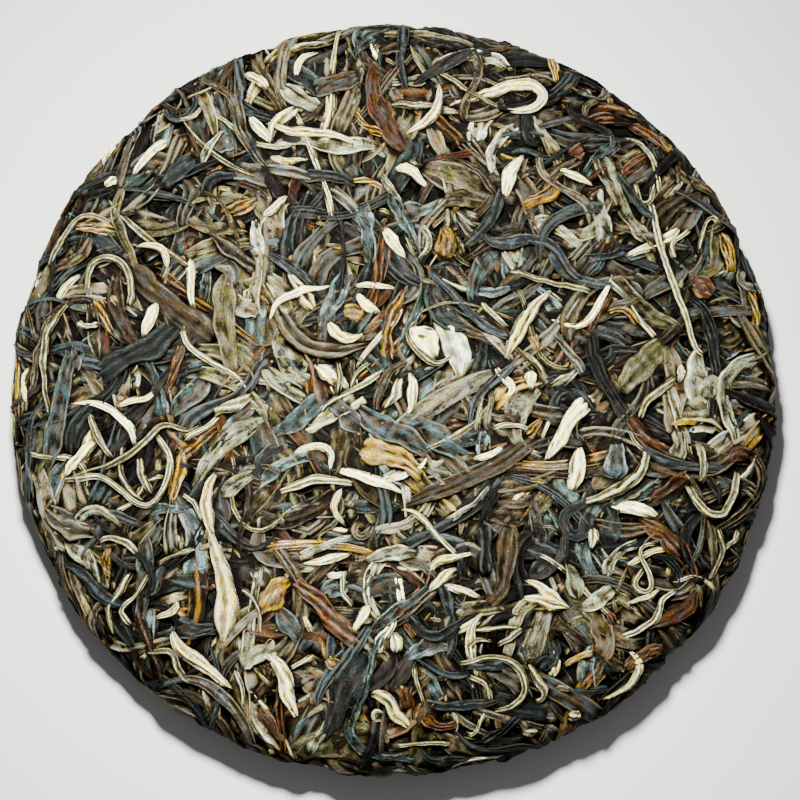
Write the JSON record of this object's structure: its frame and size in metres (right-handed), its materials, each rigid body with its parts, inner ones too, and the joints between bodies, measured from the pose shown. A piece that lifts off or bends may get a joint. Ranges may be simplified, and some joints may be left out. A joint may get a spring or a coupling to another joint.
{
  "type": "raw pu-erh tea cake",
  "caption": "Round, slightly domed cake of whole twisted tea leaves and pale buds pressed together, with a rounded rim and a dimple in its underside.",
  "frame": {"origin": "centre of the round outline, on the plane that the cake rests on", "axes": "+Z out of the domed face, +Y towards the edge that is uppermost in the picture, +X towards the picture's right"},
  "size_m": [0.1964, 0.1976, 0.0252],
  "materials": {
    "pressed_leaf": "dry, matt to faintly waxy dried leaf"
  },
  "bodies": {
    "root": {"tea_cake": "pressed_leaf"}
  },
  "joints": []
}
